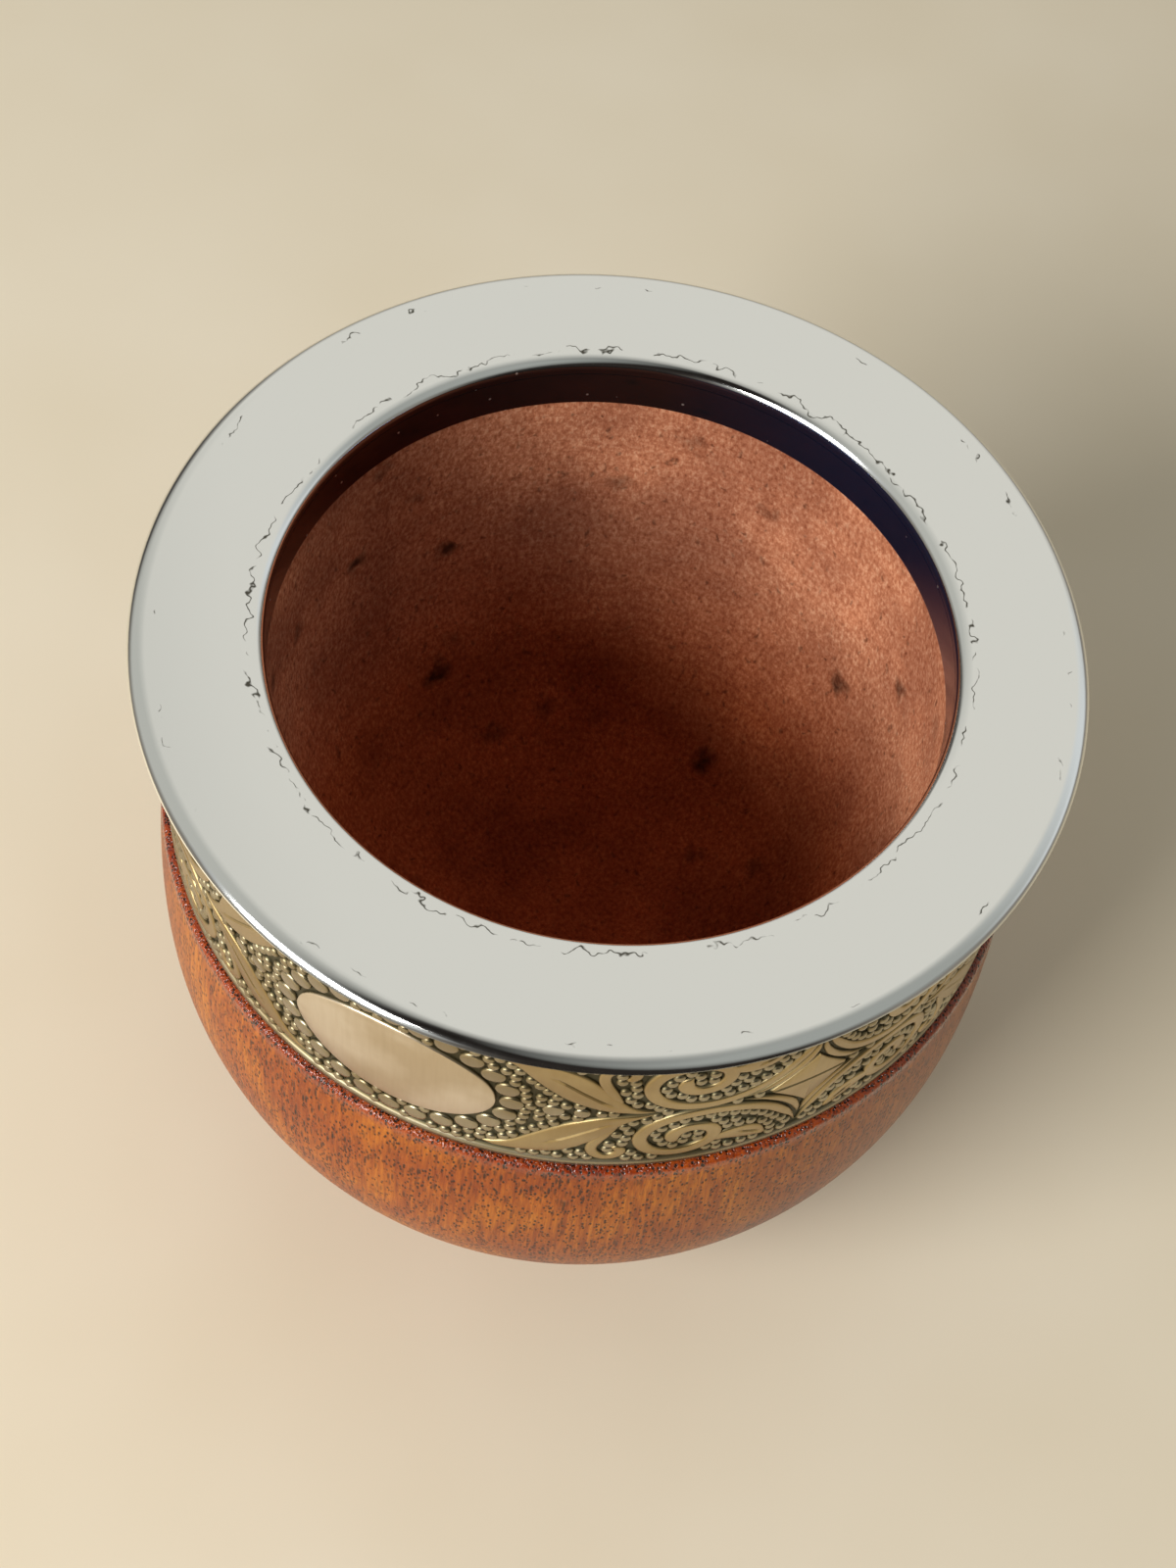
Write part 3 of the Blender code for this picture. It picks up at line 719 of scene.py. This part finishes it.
# Bead work: domes struck with a hollow punch. A string of big flat beads rings each oval, three beads
# run into the fork between the leaves, and small ones fill the ground in rows along every outline.
bead_radius = 0.63
bead_pitch = 1.2
bead_clearance = 0.52
bead_dome = 1.1
search_step = 0.1
line_step = 0.05
margin_row_height = 1.45
margin_row_pitch = 1.85
margin_row_start = 0.74 * margin_row_pitch
margin_row_slack = 0.5
height_weight = 4
crowd_weight = 0.6
crowd_reach = 3.0
big_bead_radius = 1.2
ring_half_width = 11.7
ring_half_height = 9.1
ring_count = 24
fork_beads = [(15.5, 1.05), (18.1, 0.8), (19.85, 0.55)]


def ring_places():
    """Evenly spaced places on the ellipse of big beads, as angles of the ellipse."""
    fine = np.linspace(0, 2 * math.pi, 2000)
    steps = np.hypot(ring_half_width * np.sin(fine), ring_half_height * np.cos(fine))
    length = np.cumsum(steps)
    return np.interp(np.arange(ring_count) / ring_count * length[-1], length, fine)


def inside(points, outline):
    """Which points lie inside a closed outline."""
    within = np.zeros(len(points), bool)
    for (x0, y0), (x1, y1) in zip(outline, np.roll(outline, -1, axis=0)):
        if y1 == y0:
            continue
        crosses = (y0 > points[:, 1]) != (y1 > points[:, 1])
        reach = x0 + (points[:, 1] - y0) * (x1 - x0) / (y1 - y0)
        within ^= crosses & (points[:, 0] < reach)
    return within


def clear_gap(points, outlines, rounds):
    """How far each point is from the nearest raised shape or margin."""
    gap = points[:, 1] - margin_width / MM
    for outline in outlines:
        points_away = np.min(np.linalg.norm(points[:, None] - outline[None], axis=2), axis=1)
        gap = np.where(inside(points, outline), -1.0, np.minimum(gap, points_away))
    for around, height, radius in rounds:
        gap = np.minimum(gap, np.hypot(points[:, 0] - around, points[:, 1] - height) - radius)
    return gap


def beads_along(points, axis, outlines, rounds):
    """Places of the small beads on a line of points that runs along one axis."""
    beads = []
    for point, gap in zip(points, clear_gap(points, outlines, rounds)):
        if gap >= bead_clearance and (not beads or point[axis] - beads[-1][axis] >= bead_pitch):
            beads.append(point)
    return beads


def line_beads(outlines, rounds, width):
    """Places of the small beads that lie on the band's middle line."""
    points = np.array([(around, middle) for around in np.arange(0.0, width, line_step)])
    return beads_along(points, 0, outlines, rounds)


def upright_beads(outlines, rounds):
    """Places of the small beads on a side's upright middle line, below the band's middle line."""
    heights = np.arange(margin_width / MM + bead_clearance, middle - bead_pitch, line_step)
    points = np.array([(0.0, up) for up in heights])
    return beads_along(points, 1, outlines, rounds)


def fill_beads(outlines, rounds, width, middle_beads):
    """Places of the small beads of one quarter, packed in rows along the outlines."""
    half_pitch = bead_pitch / 2
    lowest = margin_width / MM + bead_clearance
    across, up = np.meshgrid(np.arange(half_pitch, width - half_pitch, search_step),
                             np.arange(lowest, middle - half_pitch, search_step))
    points = np.column_stack([across.ravel(), up.ravel()])
    gap = clear_gap(points, outlines, rounds)
    free = gap >= bead_clearance
    points = points[free]
    gap = gap[free]
    nearest = np.full(len(points), crowd_reach)
    for bead in middle_beads:
        nearest = np.minimum(nearest, np.linalg.norm(points - bead, axis=1))
    chosen = []
    for around in np.arange(margin_row_start, width - half_pitch, margin_row_pitch):
        low = np.abs(points[:, 0] - around) + height_weight * np.abs(points[:, 1] - margin_row_height)
        pick = int(np.argmin(low))
        if low[pick] < margin_row_slack:
            chosen.append(points[pick])
            nearest = np.minimum(nearest, np.linalg.norm(points - points[pick], axis=1))
    while np.any(nearest >= bead_pitch):
        cost = np.where(nearest >= bead_pitch, gap + crowd_weight * nearest, np.inf)
        pick = int(np.argmin(cost))
        chosen.append(points[pick])
        nearest = np.minimum(nearest, np.linalg.norm(points - points[pick], axis=1))
    return chosen


def stamp(bm, dome, centre_angle, around, up, size):
    """Copy a dome, which stands along Z, on to the band's ground."""
    first = len(bm.verts)
    bm.from_mesh(dome)
    bm.verts.ensure_lookup_table()
    foot = wrap(centre_angle, around, up, 0.0)
    turn = Vector((foot.x, foot.y, 0)).to_track_quat("Z", "Y").to_matrix()
    for vert in bm.verts[first:]:
        vert.co = foot + turn @ Vector((vert.co.x * size, vert.co.y * size, vert.co.z))


bm = bmesh.new()
bmesh.ops.create_uvsphere(bm, u_segments=10, v_segments=8, radius=1.0)
bmesh.ops.bisect_plane(bm, geom=bm.verts[:] + bm.edges[:] + bm.faces[:], plane_co=(0, 0, 0),
                       plane_no=(0, 0, 1), clear_inner=True)
bmesh.ops.scale(bm, vec=(MM, MM, bead_dome * relief_height), verts=bm.verts)
close_shell(bm)
small_dome = new_mesh("small_dome", bm)
big_profile = [(0.0, 1.02), (0.55, 1.0), (0.8, 0.93), (0.93, 0.72), (1.0, 0.3), (1.0, -0.1)]
big_outline = [(radius * MM, height * relief_height) for radius, height in big_profile]
big_dome = new_mesh("big_dome", turn_profile(big_outline, closed=False, steps=20))

ring_beads = [(ring_half_width * math.cos(angle), middle + ring_half_height * math.sin(angle))
              for angle in ring_places()]
oval_outline = np.vstack([oval_edges[0], oval_edges[1][::-1]])
front_outlines = [np.vstack([edges[0], edges[1][::-1]]) for edges, vein, rise in front_motifs]
side_outlines = [squeeze(outline) for outline in front_outlines]
front_rounds = [(around, up, big_bead_radius) for around, up in ring_beads]
front_rounds += [(around, middle, radius) for around, radius in fork_beads]
side_fork = [(side_width - side_squeeze * (quarter_width - around), radius) for around, radius in fork_beads]
side_rounds = [(around, middle, radius) for around, radius in side_fork]
diamond_outline = np.vstack([front_diamond[0], front_diamond[1][::-1]])
front_outlines += [oval_outline, diamond_outline]
side_outlines += [squeeze(diamond_outline)]
front_line = line_beads(front_outlines, front_rounds, quarter_width)
side_line = line_beads(side_outlines, side_rounds, side_width)
front_fill = fill_beads(front_outlines, front_rounds, quarter_width, front_line)
side_upright = upright_beads(side_outlines, side_rounds)
side_fill = fill_beads(side_outlines, side_rounds, side_width, side_line + side_upright)
bead_sections = [(angle, front_fill, front_line, fork_beads) for angle in oval_angles]
bead_sections += [(angle, side_fill, side_line, side_fork) for angle in side_angles]
bm = bmesh.new()
for centre_angle, fill, line, fork in bead_sections:
    for side in (1, -1):
        for around, up in fill:
            for height in (up, 2 * middle - up):
                stamp(bm, small_dome, centre_angle, side * around, height, bead_radius)
        for around, up in line:
            stamp(bm, small_dome, centre_angle, side * around, up, bead_radius)
        for around, radius in fork:
            stamp(bm, big_dome, centre_angle, side * around, middle, radius)
for around, up in side_upright:
    for height in (up, 2 * middle - up):
        stamp(bm, small_dome, 0.0, around, height, bead_radius)
for centre_angle in oval_angles:
    for around, up in ring_beads:
        stamp(bm, big_dome, centre_angle, around, up, big_bead_radius)
burnished = nickel_silver("burnished_nickel_silver", "#AAA088", 0.24)
bead_work = new_piece("band_bead_work", bm, [burnished])
sharpen(bead_work, 60)
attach(bead_work, "root")

# Solder and cement: the solids' own seams and films, which hold the metal together and to the wood.
# Only the solder in the band's upright seam shows, as a dull grey line on the cup's left side.


def dull_solder():
    """Tin solder, filed flush: dull grey, cloudy with oxide and finely pitted."""
    material, tree, shader = new_material("filed_tin_solder")
    place = add_node(tree, "TexCoord", {}, [])
    # Pits and clouds about 1 mm apart
    cloud = add_node(tree, "TexNoise", {"Scale": 900.0, "Detail": 4.0}, [("Vector", place, "Object")])
    tone = add_node(tree, "ValToRGB",
                    {"stops": [(0.3, "#6E6A5E"), (0.5, "#9A968A"), (0.7, "#B4B0A4")]}, [(0, cloud, "Fac")])
    tree.links.new(tone.outputs["Color"], shader.inputs["Base Color"])
    rough = add_node(tree, "MapRange", {1: 0.3, 2: 0.7, 3: 0.6, 4: 0.4}, [(0, cloud, "Fac")])
    tree.links.new(rough.outputs[0], shader.inputs["Roughness"])
    bump = add_node(tree, "Bump", {"Strength": 0.3, "Distance": 0.05 * MM}, [("Height", cloud, "Fac")])
    tree.links.new(bump.outputs["Normal"], shader.inputs["Normal"])
    shader.inputs["Metallic"].default_value = 1.0
    return material


def set_cement():
    """Set epoxy: waxy amber, a little cloudy, with small bubbles."""
    material, tree, shader = new_material("set_epoxy_cement")
    place = add_node(tree, "TexCoord", {}, [])
    # Clouds about 2 mm across, and bubbles about 0.6 mm apart
    cloud = add_node(tree, "TexNoise", {"Scale": 500.0, "Detail": 3.0}, [("Vector", place, "Object")])
    bubble = add_node(tree, "TexVoronoi", {"Scale": 1600.0}, [("Vector", place, "Object")])
    tone = add_node(tree, "ValToRGB", {"stops": [(0.3, "#8A7448"), (0.7, "#B89E6C")]}, [(0, cloud, "Fac")])
    tree.links.new(tone.outputs["Color"], shader.inputs["Base Color"])
    bump = add_node(tree, "Bump", {"Strength": 0.4, "Distance": 0.1 * MM},
                    [("Height", bubble, "Distance")])
    tree.links.new(bump.outputs["Normal"], shader.inputs["Normal"])
    shader.inputs["Roughness"].default_value = 0.45
    return material


solder = dull_solder()
cement = set_cement()
for name, material in (("band_seam_solder", solder), ("collar_solder", solder), ("band_solder", solder),
                       ("collar_cement", cement), ("band_cement", cement), ("rim_cement", cement)):
    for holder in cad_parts[name].material_slots:
        holder.material = material

# Floor, light and camera: a plain pale floor, a soft key from the front left and a sky that the steel
# mirrors: bright beyond the cup and round the key, grey at both sides, and dark where the camera stands.
floor_size = 3.0


def pale_floor():
    """Matt pale paper with faint clouds about 40 mm across."""
    material, tree, shader = new_material("pale_paper")
    place = add_node(tree, "TexCoord", {}, [])
    mottle = add_node(tree, "TexNoise", {"Scale": 25.0, "Detail": 2.0}, [("Vector", place, "Object")])
    tone = add_node(tree, "ValToRGB",
                    {"stops": [(0.3, "#DCCEB4"), (0.7, "#E0D3BB")]}, [(0, mottle, "Fac")])
    tree.links.new(tone.outputs["Color"], shader.inputs["Base Color"])
    shader.inputs["Roughness"].default_value = 0.9
    return material


bm = bmesh.new()
bmesh.ops.create_grid(bm, x_segments=1, y_segments=1, size=floor_size)
floor = new_piece("floor", bm, [pale_floor()])

scene = bpy.context.scene
scene.view_settings.view_transform = "Standard"
world = bpy.data.worlds.new("studio")
scene.world = world
world.use_nodes = True
sky = world.node_tree
direction = add_node(sky, "TexCoord", {}, [])
key_place = Vector((-0.3, -0.59, 0.44))
key_aim = Vector((0, 0, 0.05))
key_side = (key_place - key_aim).normalized()
# Each patch has a direction, the cosines of the angles from it where it fades in and is full, and a colour
sky_patches = [((-0.224, 0.651, 0.725), 0.62, 0.86, "#D9D9D4"),  # pale wall beyond the cup
               ((0.62, 0.55, 0.56), 0.88, 0.96, "#D4DADE"),  # cool wall at the far right
               ((-0.9, 0.35, 0.2), 0.9, 0.98, "#4C4A48"),  # dim corner, low on the left
               ((-0.7, -0.05, 0.71), 0.78, 0.95, "#B9BBB7"),  # grey wall on the left
               (key_side, 0.86, 0.96, "#CDD1D2"),  # glow round the key
               ((0.187, -0.543, 0.819), 0.84, 0.92, "#1E1A18"),  # dark behind the camera
               ((0.6, -0.75, 0.2), 0.7, 0.9, "#2A2624"),  # dark, low on the right
               ((0.6, 0.0, 0.8), 0.74, 0.95, "#A0A4A2")]  # grey, high on the right
apart = add_node(sky, "SeparateXYZ", {}, [(0, direction, "Generated")])
room = add_node(sky, "ValToRGB",
                {"stops": [(0.0, "#8A8680"), (0.34, "#76726C"), (0.5, "#3A3734"), (0.9, "#34312F")]},
                [(0, apart, "Z")])
mixed = room
mixed_output = "Color"
for axis, start, end, colour in sky_patches:
    near = add_node(sky, "VectorMath", {"operation": "DOT_PRODUCT", 1: axis},
                    [(0, direction, "Generated")])
    share = add_node(sky, "MapRange", {1: start, 2: end}, [(0, near, "Value")])
    mixed = add_node(sky, "Mix", {"data_type": "RGBA", 7: linear(colour)},
                     [(0, share, 0), (6, mixed, mixed_output)])
    mixed_output = 2
ray = add_node(sky, "LightPath", {}, [])
seen = add_node(sky, "Mix", {"data_type": "RGBA", 7: linear("#D8D2C8")},
                [(0, ray, "Is Camera Ray"), (6, mixed, mixed_output)])
sky.links.new(seen.outputs[2], sky.nodes["Background"].inputs["Color"])
sky.nodes["Background"].inputs["Strength"].default_value = 1.0

key_data = bpy.data.lights.new("key", "AREA")
key_data.shape = "RECTANGLE"
key_data.size = 0.42
key_data.size_y = 0.34
key_data.energy = 7.3
key = bpy.data.objects.new("key", key_data)
scene.collection.objects.link(key)
key.location = key_place
key.rotation_euler = (key_aim - key_place).to_track_quat("-Z", "Y").to_euler()

camera_distance = 220.0 * MM
camera_elevation = math.radians(54.75)
camera_azimuth = math.radians(19.0)
camera_roll = math.radians(8.8)
aim_drop = 28.3 * MM
aim_aside = -0.25 * MM
camera_data = bpy.data.cameras.new("photo_camera")
camera_data.lens = 54.0
camera_data.sensor_width = 36.0
camera_data.clip_start = 0.01
camera = bpy.data.objects.new("photo_camera", camera_data)
scene.collection.objects.link(camera)
mouth = Vector((0, 0, rim_top))
outward = Vector((math.sin(camera_azimuth), -math.cos(camera_azimuth), 0)) * math.cos(camera_elevation)
camera.location = mouth + (outward + Vector((0, 0, math.sin(camera_elevation)))) * camera_distance
across = Vector((math.cos(camera_azimuth), math.sin(camera_azimuth), 0))
aim = mouth - Vector((0, 0, aim_drop)) + across * aim_aside
look = (aim - camera.location).to_track_quat("-Z", "Y").to_matrix().to_4x4()
camera.matrix_world = Matrix.Translation(camera.location) @ look @ Matrix.Rotation(camera_roll, 4, "Z")
scene.camera = camera
